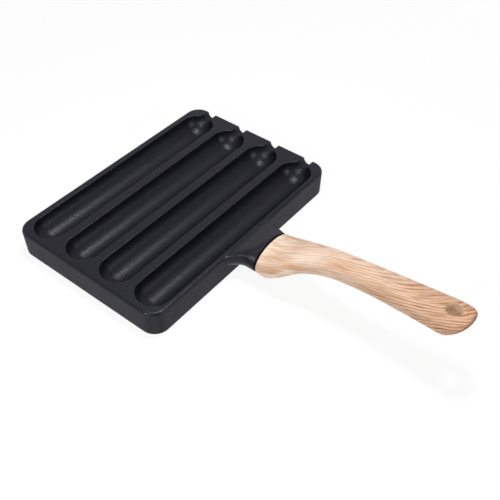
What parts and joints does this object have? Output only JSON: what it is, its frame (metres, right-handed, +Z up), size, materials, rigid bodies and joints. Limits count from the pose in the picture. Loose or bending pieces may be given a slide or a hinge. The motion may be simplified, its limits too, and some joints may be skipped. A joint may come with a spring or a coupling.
{
  "type": "hot dog bun pan",
  "caption": "Cast stovetop pan with long half-round troughs for hot dogs, a stick notch at each trough's end and a swan-necked wooden handle with a hang hole.",
  "frame": {"origin": "in the plane that the pan stands on, at the foot of the middle web: under the middle of the row of troughs and in line with the handle", "axes": "+X across the troughs towards the handle, +Y along the troughs towards the notched edge, +Z up out of the troughs"},
  "size_m": [0.3623, 0.2371, 0.0658],
  "materials": {
    "coated_aluminium": "satin black non-stick coating over cast aluminium",
    "black_silicone": "matt black heat-proof silicone",
    "pale_wood": "pale ash, sanded and oiled, with fine darker grain",
    "zinc_steel": "zinc-plated steel",
    "brass": "plain brass"
  },
  "bodies": {
    "root": {"pan_body": "coated_aluminium", "heat_gasket": "black_silicone", "handle": "pale_wood", "handle_stud": "zinc_steel", "threaded_insert": "brass", "locating_pin": "zinc_steel"}
  },
  "joints": []
}
